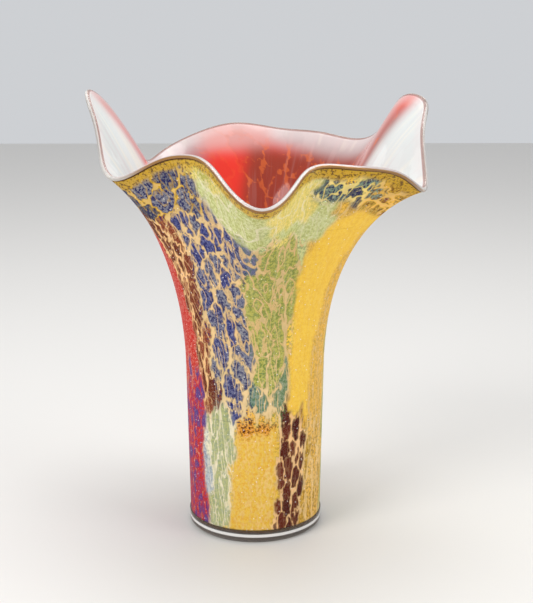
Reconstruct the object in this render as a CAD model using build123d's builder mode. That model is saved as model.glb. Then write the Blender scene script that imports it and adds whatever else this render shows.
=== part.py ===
from build123d import *
import math
import os

import numpy as np

# Hand blown art glass vase: a cased, reticulated body with a five-lobed ruffled mouth.
# Millimetres, +Z up, origin at the middle of the ground foot on the table, -Y is the front.

# ---- driving dimensions ----
OVERALL_HEIGHT = 361.0  # table to the crown of the tallest ear, before the rounded lip
RIM_REACH = 151.0  # furthest the rim leans out from the axis
BASE_RADIUS = 56.5  # body radius at the table
SHOULDER_RADIUS = 59.0  # body radius where the flare begins
SHOULDER_HEIGHT = 140.0  # table to the start of the flare
FLARE_REACH = 0.36  # how far the two ends of each flare curve hold their direction
WALL_BODY = 5.2  # whole wall in the straight body
WALL_LIP = 4.2  # whole wall just under the lip
FOOT_HEIGHT = 11.0  # clear foot below the colour
FOOT_EDGE = 2.5  # rounding of the foot's lower corner
PUNTY_RADIUS = 17.0  # ground and polished pontil dimple
PUNTY_DEPTH = 1.6
FLOOR = 14.0  # glass between the foot and the inside
BOWL_ROUNDING = 15.0  # inside corner between floor and wall

# Share of the wall taken by each gather, counted from the outside inwards
CASING_END = 0.17
FIELD_END = 0.30
GROUND_END = 0.42
CORE_END = 0.84
SEAM = 0.1  # gap left on every side of a colour field
PAST_RIM = 1.7 * RIM_REACH  # reach of the wedges that divide the colour
WEDGE_SIDES = 3  # straight sides along the outer end of each wedge
HOOP_POINTS = 60  # points round each hoop of a skin
BEND_HOOPS = 6  # hoops in the quarter turn between floor and wall
LIP_HOOPS = 4  # hoops in each half of the lip
ROW_SPACING = 0.05  # share of the way up between the hoops of a wall skin

# The rim, walked once round: azimuth in degrees, how far it stands in from RIM_REACH,
# how far it hangs below OVERALL_HEIGHT, and how hard the flare curls outward there
RIM = [
    (-88, 15, 72, 1.0),
    (-68, 45, 49, 1.0),
    (-50, 34, 47, 1.0),
    (-33, 16, 56, 1.3),
    (-18, 10, 67, 1.45),
    (-6, 15, 31, 1.0),
    (7, 9, 7, 1.2),
    (18, 16, 4, 1.0),
    (38, 15, 41, 1.0),
    (60, 25, 42, 1.0),
    (80, 19, 40, 1.0),
    (100, 16, 36, 1.0),
    (122, 0, 58, 1.0),
    (143, 20, 54, 1.0),
    (154, 13, 17, 1.0),
    (165, 6, 0, 1.0),
    (176, 20, 24, 0.7),
    (190, 30, 60, 1.4),
    (210, 54, 51, 1.0),
    (234, 60, 40, 1.0),
    (254, 41, 48, 1.0),
]

PANEL_TOP = 105.0  # height of the short panels round the front of the foot
LOBE_BOTTOM = 264.0  # height where the colours change again under the front lobes
ABOVE_RIM = OVERALL_HEIGHT + 39.0

# Borders between the colour fields, walked upwards: (height, azimuth in degrees)
PLUM_RED = [(0, 172), (180, 168), (ABOVE_RIM, 160)]
RED_BROWN = [(0, 224), (96, 224), (140, 217), (172, 210), (202, 202), (232, 196), (262, 186), (ABOVE_RIM, 172)]
BROWN_BLUE = [(PANEL_TOP, 236), (140, 233), (172, 226), (232, 219), (262, 214), (284, 200), (ABOVE_RIM, 184)]
BLUE_GREEN = [(PANEL_TOP, 268), (172, 267), (202, 263), (262, 261), (284, 247), (ABOVE_RIM, 232)]
GREEN_STRAW = [(LOBE_BOTTOM, 272), (ABOVE_RIM, 264)]
GREEN_YELLOW = [(PANEL_TOP, 299), (232, 300), (LOBE_BOTTOM, 308)]
YELLOW_GOLD = [(PANEL_TOP, 316), (172, 318), (232, 322), (LOBE_BOTTOM, 326), (ABOVE_RIM, 310)]
MINT_PANEL = [(0, 249), (PANEL_TOP, 254)]
PANEL_BURGUNDY = [(0, 287), (PANEL_TOP, 291)]
BURGUNDY_GOLD = [(0, 313), (PANEL_TOP, 314)]
GOLD_LEAF = [(0, 345), (172, 348), (ABOVE_RIM, 352)]
LEAF_OCHRE = [(0, 392), (172, 396), (ABOVE_RIM, 404)]
OCHRE_SKY = [(0, 446), (172, 442), (ABOVE_RIM, 450)]
SKY_PLUM = [(0, 492), (172, 496), (ABOVE_RIM, 488)]

# name, left border, right border, lowest and highest height
FIELDS = [
    ("field_red", PLUM_RED, RED_BROWN, 0, ABOVE_RIM),
    ("field_brown", RED_BROWN, BROWN_BLUE, PANEL_TOP, ABOVE_RIM),
    ("field_blue", BROWN_BLUE, BLUE_GREEN, PANEL_TOP, ABOVE_RIM),
    ("field_green", BLUE_GREEN, GREEN_YELLOW, PANEL_TOP, LOBE_BOTTOM),
    ("field_green_lobe", BLUE_GREEN, GREEN_STRAW, LOBE_BOTTOM, ABOVE_RIM),
    ("field_straw", GREEN_STRAW, YELLOW_GOLD, LOBE_BOTTOM, ABOVE_RIM),
    ("field_yellow", GREEN_YELLOW, YELLOW_GOLD, PANEL_TOP, LOBE_BOTTOM),
    ("field_mint", RED_BROWN, MINT_PANEL, 0, PANEL_TOP),
    ("field_panel", MINT_PANEL, PANEL_BURGUNDY, 0, PANEL_TOP),
    ("field_burgundy", PANEL_BURGUNDY, BURGUNDY_GOLD, 0, PANEL_TOP),
    ("field_gold_low", BURGUNDY_GOLD, GOLD_LEAF, 0, PANEL_TOP),
    ("field_gold", YELLOW_GOLD, GOLD_LEAF, PANEL_TOP, ABOVE_RIM),
    ("field_leaf", GOLD_LEAF, LEAF_OCHRE, 0, ABOVE_RIM),
    ("field_ochre", LEAF_OCHRE, OCHRE_SKY, 0, ABOVE_RIM),
    ("field_sky", OCHRE_SKY, SKY_PLUM, 0, ABOVE_RIM),
    ("field_plum", SKY_PLUM, [(height, azimuth + 360) for height, azimuth in PLUM_RED], 0, ABOVE_RIM),
]

STRAIGHT = 0.4  # share of the way up the wall that is the straight body
LOWEST = STRAIGHT * FOOT_HEIGHT / SHOULDER_HEIGHT  # share at the top of the foot


def rim_spline(column):
    """Coefficients of the smooth closed curve through one column of RIM."""
    angle = np.array([row[0] for row in RIM], float)
    value = np.array([row[column] for row in RIM], float)
    step = np.diff(np.append(angle, angle[0] + 360))
    rise = np.diff(np.append(value, value[0])) / step
    count = len(angle)
    matrix = np.zeros((count, count))
    right = np.zeros(count)
    for i in range(count):
        before, after = step[i - 1], step[i]
        matrix[i, i - 1] += after
        matrix[i, i] += 2 * (before + after)
        matrix[i, (i + 1) % count] += before
        right[i] = 3 * (after * rise[i - 1] + before * rise[i])
    return angle, step, value, rise, np.linalg.solve(matrix, right)


SPLINES = [rim_spline(column) for column in (1, 2, 3)]


def rim_value(spline, azimuth):
    """Read one rim curve at an azimuth in degrees."""
    angle, step, value, rise, slope = spline
    turn = (azimuth - angle[0]) % 360
    i = int(np.searchsorted(angle - angle[0], turn, side="right")) - 1
    t = (turn - (angle[i] - angle[0])) / step[i]
    following = (i + 1) % len(angle)
    bend_a = (slope[i] - rise[i]) * step[i]
    bend_b = (rise[i] - slope[following]) * step[i]
    start, end = value[i], value[following]
    return (1 - t) * start + t * end + t * (1 - t) * ((1 - t) * bend_a + t * bend_b)


def skin_point(azimuth, share):
    """Outermost skin of the glass: azimuth in degrees, share of the way from table to rim."""
    if share <= STRAIGHT:
        lift = share / STRAIGHT
        radius = BASE_RADIUS + (SHOULDER_RADIUS - BASE_RADIUS) * lift
        height = SHOULDER_HEIGHT * lift
    else:
        tuck, drop, curl = [rim_value(spline, azimuth) for spline in SPLINES]
        end_r, end_z = RIM_REACH - tuck, OVERALL_HEIGHT - drop
        start = math.atan2(SHOULDER_HEIGHT, SHOULDER_RADIUS - BASE_RADIUS)
        lean = math.atan2(end_z - SHOULDER_HEIGHT, end_r - SHOULDER_RADIUS)
        finish = lean - curl * (start - lean)
        hold = FLARE_REACH * math.hypot(end_z - SHOULDER_HEIGHT, end_r - SHOULDER_RADIUS)
        t = (share - STRAIGHT) / (1 - STRAIGHT)
        w = [(1 - t) ** 3, 3 * t * (1 - t) ** 2, 3 * t * t * (1 - t), t**3]
        r = [SHOULDER_RADIUS, SHOULDER_RADIUS + hold * math.cos(start), end_r - hold * math.cos(finish), end_r]
        z = [SHOULDER_HEIGHT, SHOULDER_HEIGHT + hold * math.sin(start), end_z - hold * math.sin(finish), end_z]
        radius = sum(a * b for a, b in zip(w, r))
        height = sum(a * b for a, b in zip(w, z))
    turn = math.radians(azimuth)
    return Vector(radius * math.cos(turn), radius * math.sin(turn), height)


def skin_frame(azimuth, share):
    """Point, outward normal and upward direction of the outermost skin."""
    low, high = max(share - 0.002, 0.0), min(share + 0.002, 1.0)
    along = skin_point(azimuth, high) - skin_point(azimuth, low)
    around = skin_point(azimuth + 0.5, share) - skin_point(azimuth - 0.5, share)
    return skin_point(azimuth, share), around.cross(along).normalized(), along.normalized()


def wall_at(share):
    """Whole wall thickness at a share of the way up."""
    return WALL_BODY + (WALL_LIP - WALL_BODY) * max(0.0, (share - STRAIGHT) / (1 - STRAIGHT))


def layer_point(azimuth, share, depth):
    """A point inside the wall: depth 0 is the outside, 1 the inside."""
    point, normal, up = skin_frame(azimuth, share)
    level = min(1.0, (share - LOWEST) / (STRAIGHT - LOWEST))
    inward = Vector(normal.X, normal.Y, normal.Z * level)
    return point - inward * (depth * wall_at(share))


def border_azimuth(border, height):
    """Azimuth of a field border at a height."""
    return float(np.interp(height, [row[0] for row in border], [row[1] for row in border]))


def shares_between(low, high):
    """Shares of the way up for the rows of a surface."""
    count = max(4, round((high - low) / ROW_SPACING))
    return [low + (high - low) * i / count for i in range(count + 1)]


def sew(faces):
    """Sew faces into one closed solid."""
    return Solid(Shell(Face.sew_faces(faces)[0]))


def closed_curve(row):
    """A smooth closed curve through one hoop of points."""
    return Edge.make_spline(row, periodic=True, parameters=list(range(len(row) + 1)))


def hoop_skin(rows):
    """A smooth shell through closed hoops of points, open at its first and last hoop."""
    return Shell.make_loft([Wire([closed_curve(row)]) for row in rows])


def hoop(depth, share):
    """One closed hoop of points at a depth of the wall."""
    return [layer_point(360 * i / HOOP_POINTS, share, depth) for i in range(HOOP_POINTS)]


def circle_hoop(radius, height):
    """One round hoop of points."""
    turns = [2 * math.pi * i / HOOP_POINTS for i in range(HOOP_POINTS)]
    return [Vector(radius * math.cos(turn), radius * math.sin(turn), height) for turn in turns]


def wall_skin(depth):
    """The skin at one depth of the wall, from the top of the foot to the lip."""
    return hoop_skin([hoop(depth, share) for share in shares_between(LOWEST, 1.0)])


def bowl_skin(depth, floor, rounding):
    """The skin at one depth of the wall, turning in to a flat floor at the bottom."""
    start = STRAIGHT * (floor + rounding) / SHOULDER_HEIGHT
    reach = layer_point(0, start, depth).X
    rows = []
    for i in range(BEND_HOOPS + 1):
        turn = math.radians(90 * i / BEND_HOOPS)
        radius = reach - rounding + rounding * math.sin(turn)
        rows.append(circle_hoop(radius, floor + rounding - rounding * math.cos(turn)))
    wall = hoop_skin([rows[-1]] + [hoop(depth, share) for share in shares_between(start, 1.0)[1:]])
    return Shell(Face.sew_faces(hoop_skin(rows).faces() + wall.faces())[0])


def open_ends(skin):
    """The lower and the upper closed edge of a skin."""
    ends = sorted([edge for edge in skin.edges() if edge.is_closed], key=lambda edge: edge.center().Z)
    return ends[0], ends[-1]


def tube(outer, inner):
    """A wall between two skins, closed straight across at both ends."""
    ends = zip(open_ends(outer), open_ends(inner))
    return sew(outer.faces() + inner.faces() + [Face.make_surface_from_curves(a, b) for a, b in ends])


def cup(outer, inner):
    """A wall between two skins, with a flat floor at the bottom of each."""
    low_out, high_out = open_ends(outer)
    low_in, high_in = open_ends(inner)
    floors = [Face(Wire([low_out])), Face(Wire([low_in]))]
    return sew(outer.faces() + inner.faces() + floors + [Face.make_surface_from_curves(high_out, high_in)])


def rounded_lip():
    """The fire-polished bead that closes every layer at the rim."""
    rows = []
    for i in range(2 * LIP_HOOPS + 1):
        turn = math.radians(90 * i / LIP_HOOPS)
        row = []
        for j in range(HOOP_POINTS):
            azimuth = 360 * j / HOOP_POINTS
            up = skin_frame(azimuth, 1.0)[2]
            outer, inner = layer_point(azimuth, 1.0, 0), layer_point(azimuth, 1.0, 1)
            half = (outer - inner) * 0.5
            row.append((outer + inner) * 0.5 + half * math.cos(turn) + up * (half.length * math.sin(turn)))
        rows.append(row)
    underside = Face.make_surface_from_curves(closed_curve(rows[0]), closed_curve(rows[-1]))
    outside, inside = hoop_skin(rows[: LIP_HOOPS + 1]), hoop_skin(rows[LIP_HOOPS:])
    return sew(outside.faces() + inside.faces() + [underside])


def wedge_corners(left, right, height):
    """Corners of a colour field's wedge at a height, from the axis out past the rim."""
    gap = math.degrees(SEAM / SHOULDER_RADIUS)
    start, stop = border_azimuth(left, height) + gap, border_azimuth(right, height) - gap
    turns = [math.radians(start + (stop - start) * i / WEDGE_SIDES) for i in range(WEDGE_SIDES + 1)]
    return [(0, 0)] + [(PAST_RIM * math.cos(turn), PAST_RIM * math.sin(turn)) for turn in turns]


def save(part, name):
    """Label one piece and write it."""
    part.label = name
    export_step(part, f"parts/{name}.step")


os.makedirs("parts", exist_ok=True)

casing_skin = wall_skin(0.0)
field_skin = wall_skin(CASING_END)
ground_skin = wall_skin(FIELD_END)
core_skin = wall_skin(GROUND_END)
lining_depth = WALL_BODY * (1 - CORE_END)
core_bowl = bowl_skin(CORE_END, FOOT_HEIGHT + FLOOR, BOWL_ROUNDING)
inner_bowl = bowl_skin(1.0, FOOT_HEIGHT + FLOOR + lining_depth, BOWL_ROUNDING - lining_depth)

# Clear ground foot, with its lower corner eased and a polished pontil dimple underneath
with BuildPart() as foot_pad:
    with BuildSketch(Plane.XZ):
        Polygon(
            (0, 0),
            (BASE_RADIUS - FOOT_EDGE, 0),
            (BASE_RADIUS, FOOT_EDGE),
            (layer_point(0, LOWEST, 0).X, FOOT_HEIGHT),
            (0, FOOT_HEIGHT),
            align=None,
        )
    revolve(axis=Axis.Z)
    dimple = (PUNTY_RADIUS**2 + PUNTY_DEPTH**2) / (2 * PUNTY_DEPTH)
    with Locations((0, 0, PUNTY_DEPTH - dimple)):
        Sphere(dimple, mode=Mode.SUBTRACT)
save(foot_pad.part, "foot_pad")

# Thick clear gather that gives the vase its body and floor
with BuildPart() as crystal_core:
    add(cup(core_skin, core_bowl))
save(crystal_core.part, "crystal_core")

# Thin transparent ruby bubble that lines the inside
with BuildPart() as ruby_lining:
    add(cup(core_bowl, inner_bowl))
save(ruby_lining.part, "ruby_lining")

# Opaque amber and cream ground that shows between the colours as the net
with BuildPart() as amber_ground:
    add(tube(ground_skin, core_skin))
save(amber_ground.part, "amber_ground")

# Clear outer gather over all the colour
with BuildPart() as clear_casing:
    add(tube(casing_skin, field_skin))
save(clear_casing.part, "clear_casing")

# Clear fire-polished bead along the ruffled rim
with BuildPart() as clear_lip:
    add(rounded_lip())
save(clear_lip.part, "clear_lip")

# The colour fields: wedges of one thin skin of colour between the ground and the casing
inset = SEAM / WALL_BODY
colour_skin = tube(wall_skin(CASING_END + inset), wall_skin(FIELD_END - inset))
for name, left, right, low, high in FIELDS:
    heights = {height for height, azimuth in left + right if low < height < high}
    with BuildPart() as field:
        for height in sorted(heights | {low + SEAM, high - SEAM}):
            with BuildSketch(Plane.XY.offset(height)):
                Polygon(*wedge_corners(left, right, height), align=None)
        loft(ruled=True)
        add(colour_skin, mode=Mode.INTERSECT)
    save(field.part, name)
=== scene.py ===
"""Looks of the hand blown art glass vase: ruffled cased glass with netted colour fields.

Metres, +Z up, -Y the front. The wall is built from the same few sizes as the CAD model.
"""

import math

import bpy
import numpy as np
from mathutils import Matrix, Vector, kdtree


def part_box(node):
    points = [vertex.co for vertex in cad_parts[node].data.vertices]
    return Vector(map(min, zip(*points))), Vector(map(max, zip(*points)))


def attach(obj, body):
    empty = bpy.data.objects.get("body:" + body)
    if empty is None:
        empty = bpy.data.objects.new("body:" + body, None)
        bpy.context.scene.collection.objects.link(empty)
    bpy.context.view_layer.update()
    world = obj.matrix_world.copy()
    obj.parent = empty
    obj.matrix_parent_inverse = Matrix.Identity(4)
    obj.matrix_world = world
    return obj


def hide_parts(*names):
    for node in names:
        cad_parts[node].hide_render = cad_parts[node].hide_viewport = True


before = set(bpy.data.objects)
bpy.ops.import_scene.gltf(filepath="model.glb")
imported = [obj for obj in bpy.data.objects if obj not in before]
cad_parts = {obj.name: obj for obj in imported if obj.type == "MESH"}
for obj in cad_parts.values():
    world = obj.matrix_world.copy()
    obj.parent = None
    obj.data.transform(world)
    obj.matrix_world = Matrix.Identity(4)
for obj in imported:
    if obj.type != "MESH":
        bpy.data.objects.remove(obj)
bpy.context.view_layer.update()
random = np.random.default_rng(11)

# ---- sizes, in metres, as in the CAD model ----
OVERALL_HEIGHT = 0.361
RIM_REACH = 0.151
BASE_RADIUS = 0.0565
SHOULDER_RADIUS = 0.059
SHOULDER_HEIGHT = 0.14
FLARE_REACH = 0.36
WALL_BODY, WALL_LIP = 0.0052, 0.0042
CASING_END, FIELD_END, GROUND_END, CORE_END = 0.17, 0.30, 0.42, 0.84
STRAIGHT = 0.4  # share of the way up the wall that is the straight body
FOOT_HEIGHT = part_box("foot_pad")[1].z
FLOOR_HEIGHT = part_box("ruby_lining")[0].z
LOWEST = STRAIGHT * FOOT_HEIGHT / SHOULDER_HEIGHT

# The rim: azimuth in degrees, how far it stands in from RIM_REACH and hangs below
# OVERALL_HEIGHT, both in millimetres, and how hard the flare curls outward there
RIM = [
    (-88, 15, 72, 1.0),
    (-68, 45, 49, 1.0),
    (-50, 34, 47, 1.0),
    (-33, 16, 56, 1.3),
    (-18, 10, 67, 1.45),
    (-6, 15, 31, 1.0),
    (7, 9, 7, 1.2),
    (18, 16, 4, 1.0),
    (38, 15, 41, 1.0),
    (60, 25, 42, 1.0),
    (80, 19, 40, 1.0),
    (100, 16, 36, 1.0),
    (122, 0, 58, 1.0),
    (143, 20, 54, 1.0),
    (154, 13, 17, 1.0),
    (165, 6, 0, 1.0),
    (176, 20, 24, 0.7),
    (190, 30, 60, 1.4),
    (210, 54, 51, 1.0),
    (234, 60, 40, 1.0),
    (254, 41, 48, 1.0),
]

# Azimuths below run from the back seam round the front and back again
SEAM_AZIMUTH = -228


# ---------------------------------------------------------------- the wall's shape
def rim_spline(column):
    """Knots, steps, values, rises and slopes of the smooth closed curve through a RIM column."""
    angle = np.array([row[0] for row in RIM], float)
    value = np.array([row[column] for row in RIM], float)
    step = np.diff(np.append(angle, angle[0] + 360))
    rise = np.diff(np.append(value, value[0])) / step
    count = len(angle)
    matrix, right = np.zeros((count, count)), np.zeros(count)
    for i in range(count):
        before, after = step[i - 1], step[i]
        matrix[i, i - 1] += after
        matrix[i, i] += 2 * (before + after)
        matrix[i, (i + 1) % count] += before
        right[i] = 3 * (after * rise[i - 1] + before * rise[i])
    return angle, step, value, rise, np.linalg.solve(matrix, right)


SPLINES = [rim_spline(column) for column in (1, 2, 3)]


def rim_value(spline, azimuth):
    """Read one rim curve at azimuths in degrees."""
    angle, step, value, rise, slope = spline
    turn = (azimuth - angle[0]) % 360
    i = np.searchsorted(angle - angle[0], turn, side="right") - 1
    following = (i + 1) % len(angle)
    t = (turn - (angle[i] - angle[0])) / step[i]
    bend_a = (slope[i] - rise[i]) * step[i]
    bend_b = (rise[i] - slope[following]) * step[i]
    straight = (1 - t) * value[i] + t * value[following]
    return straight + t * (1 - t) * ((1 - t) * bend_a + t * bend_b)


def skin(azimuth, share):
    """Points of the outermost skin: azimuth in degrees, share of the way from table to rim."""
    azimuth, share = np.broadcast_arrays(np.asarray(azimuth, float), np.asarray(share, float))
    tuck, drop, curl = [rim_value(spline, azimuth) for spline in SPLINES]
    end_r, end_z = RIM_REACH - tuck / 1000, OVERALL_HEIGHT - drop / 1000
    start = math.atan2(SHOULDER_HEIGHT, SHOULDER_RADIUS - BASE_RADIUS)
    lean = np.arctan2(end_z - SHOULDER_HEIGHT, end_r - SHOULDER_RADIUS)
    finish = lean - curl * (start - lean)
    hold = FLARE_REACH * np.hypot(end_z - SHOULDER_HEIGHT, end_r - SHOULDER_RADIUS)
    t = np.clip((share - STRAIGHT) / (1 - STRAIGHT), 0, 1)
    w = [(1 - t) ** 3, 3 * t * (1 - t) ** 2, 3 * t * t * (1 - t), t**3]
    r = [SHOULDER_RADIUS, SHOULDER_RADIUS + hold * math.cos(start), end_r - hold * np.cos(finish), end_r]
    z = [SHOULDER_HEIGHT, SHOULDER_HEIGHT + hold * math.sin(start), end_z - hold * np.sin(finish), end_z]
    radius = sum(a * b for a, b in zip(w, r))
    height = sum(a * b for a, b in zip(w, z))
    lift = share / STRAIGHT
    low = share < STRAIGHT
    radius = np.where(low, BASE_RADIUS + (SHOULDER_RADIUS - BASE_RADIUS) * lift, radius)
    height = np.where(low, SHOULDER_HEIGHT * lift, height)
    turn = np.radians(azimuth)
    return np.stack([radius * np.cos(turn), radius * np.sin(turn), height], -1)


def unit(vectors):
    """Vectors made one metre long."""
    return vectors / np.linalg.norm(vectors, axis=-1, keepdims=True)


def layer(azimuth, share, depth):
    """Points inside the wall, along its normal: depth 0 is the outside and 1 the inside."""
    azimuth, share = np.broadcast_arrays(np.asarray(azimuth, float), np.asarray(share, float))
    along = skin(azimuth, np.minimum(share + 0.002, 1)) - skin(azimuth, np.maximum(share - 0.002, 0))
    around = skin(azimuth + 0.5, share) - skin(azimuth - 0.5, share)
    normal = unit(np.cross(around, along))
    normal[..., 2] *= np.clip((share - LOWEST) / (STRAIGHT - LOWEST), 0, 1)
    wall = WALL_BODY + (WALL_LIP - WALL_BODY) * np.clip((share - STRAIGHT) / (1 - STRAIGHT), 0, 1)
    return skin(azimuth, share) - normal * (depth * wall)[..., None]


# ---------------------------------------------------------------- the colour plan
# Linear colours
COLOURS = {
    "red": (0.56, 0.022, 0.015),
    "violet": (0.13, 0.04, 0.2),
    "brown": (0.15, 0.03, 0.015),
    "rust": (0.3, 0.07, 0.03),
    "night": (0.012, 0.015, 0.1),
    "navy": (0.07, 0.08, 0.24),
    "slate": (0.2, 0.2, 0.25),
    "steel": (0.07, 0.075, 0.1),
    "haze": (0.42, 0.46, 0.52),
    "pine": (0.06, 0.16, 0.05),
    "leaf": (0.33, 0.34, 0.05),
    "moss": (0.46, 0.43, 0.09),
    "teal": (0.17, 0.25, 0.2),
    "pale_green": (0.62, 0.64, 0.28),
    "mint": (0.42, 0.43, 0.17),
    "straw": (0.86, 0.68, 0.18),
    "yellow": (0.93, 0.6, 0.075),
    "gold": (0.85, 0.48, 0.065),
    "honey": (0.79, 0.5, 0.07),
    "orange": (0.72, 0.3, 0.03),
    "mustard": (0.58, 0.34, 0.03),
    "umber": (0.2, 0.08, 0.015),
    "burgundy": (0.07, 0.012, 0.01),
    "wine": (0.18, 0.025, 0.04),
    "cream": (0.86, 0.6, 0.27),
    "peach": (0.78, 0.46, 0.2),
    "amber": (0.7, 0.47, 0.21),
    "sand": (0.7, 0.5, 0.24),
    "ivory": (0.84, 0.76, 0.55),
}

# name: two cell colours, net colour, speck colour, netness, net half width in mm, cell width
# in degrees, cell height as a share, lean in degrees per whole share, speckle, streak,
# milkiness, threads
LOOKS = {
    "red": ("red", "red", "peach", "ivory", 0.0, 0.4, 8, 0.06, 0, 0.16, 0.0, 0.0, 0.0),
    "red_low": ("violet", "red", "red", "navy", 0.75, 0.7, 6, 0.03, 0, 0.6, 0.1, 0.0, 0.2),
    "brown": ("brown", "rust", "peach", "burgundy", 1.0, 0.6, 7, 0.055, -40, 0.5, 0.2, 0.0, 0.6),
    "blue_top": ("steel", "slate", "mustard", "night", 1.0, 0.58, 12, 0.06, -10, 1.0, 0.1, 0.0, 0.5),
    "blue": ("slate", "navy", "amber", "night", 1.0, 0.7, 11, 0.062, -60, 0.9, 0.1, 0.05, 0.9),
    "blue_low": ("navy", "slate", "sand", "night", 1.0, 0.75, 12.5, 0.07, -20, 0.9, 0.1, 0.05, 0.8),
    "green_top": ("pale_green", "pale_green", "ivory", "leaf", 0.2, 0.5, 9, 0.12, 0, 0.6, 0.9, 0.4, 0.7),
    "green": ("moss", "moss", "amber", "pine", 0.8, 0.45, 11, 0.1, -25, 0.55, 0.3, 0.15, 1.0),
    "green_low": ("teal", "moss", "sand", "pine", 1.0, 0.6, 10, 0.07, 0, 0.7, 0.2, 0.1, 1.0),
    "straw": ("straw", "straw", "ivory", "moss", 0.0, 0.5, 8, 0.1, 0, 0.4, 0.9, 0.2, 0.5),
    "olive": ("straw", "leaf", "ivory", "leaf", 0.3, 0.5, 6, 0.05, 0, 0.7, 0.9, 0.1, 0.5),
    "fleck": ("steel", "teal", "straw", "night", 0.9, 0.5, 9, 0.032, 30, 1.0, 0.6, 0.0, 0.9),
    "arch": ("pale_green", "pale_green", "ivory", "leaf", 0.0, 0.5, 8, 0.1, 0, 0.5, 0.4, 0.5, 0.3),
    "yellow": ("yellow", "yellow", "gold", "orange", 0.0, 0.5, 7, 0.2, 0, 0.2, 0.45, 0.1, 0.4),
    "gold": ("gold", "yellow", "sand", "umber", 0.1, 0.5, 5, 0.15, 0, 0.3, 0.8, 0.1, 0.7),
    "corner": ("mustard", "teal", "gold", "umber", 0.9, 0.7, 9, 0.022, 20, 1.0, 0.8, 0.0, 0.8),
    "tip": ("wine", "mustard", "gold", "burgundy", 0.9, 0.5, 8, 0.022, 20, 1.0, 0.4, 0.0, 0.4),
    "mint": ("mint", "mint", "ivory", "teal", 0.55, 0.5, 8, 0.08, 0, 0.5, 0.3, 0.35, 0.9),
    "frost": ("haze", "ivory", "ivory", "navy", 0.3, 0.6, 4, 0.05, 0, 0.6, 0.2, 0.7, 0.0),
    "panel": ("honey", "honey", "cream", "orange", 0.3, 0.4, 5, 0.022, 0, 0.5, 0.0, 0.05, 0.0),
    "fringe": ("orange", "gold", "yellow", "burgundy", 0.0, 0.4, 5, 0.02, 0, 1.0, 0.0, 0.0, 0.0),
    "burgundy": ("burgundy", "brown", "peach", "burgundy", 1.0, 0.6, 7.5, 0.05, 0, 0.3, 0.1, 0.0, 0.15),
    "gold_low": ("gold", "mustard", "cream", "umber", 0.6, 0.6, 9, 0.06, 0, 0.6, 0.9, 0.1, 0.7),
    "leaf": ("moss", "leaf", "cream", "pine", 0.95, 0.65, 8, 0.08, 40, 0.6, 0.3, 0.1, 0.3),
    "ochre": ("gold", "orange", "cream", "umber", 0.5, 0.6, 7, 0.06, 0, 0.4, 0.4, 0.2, 0.4),
    "sky": ("slate", "navy", "cream", "night", 1.0, 0.7, 9, 0.08, 40, 0.9, 0.2, 0.1, 0.2),
    "plum": ("wine", "burgundy", "peach", "burgundy", 1.0, 0.65, 7.5, 0.06, 20, 0.3, 0.2, 0.0, 0.3),
}

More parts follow.
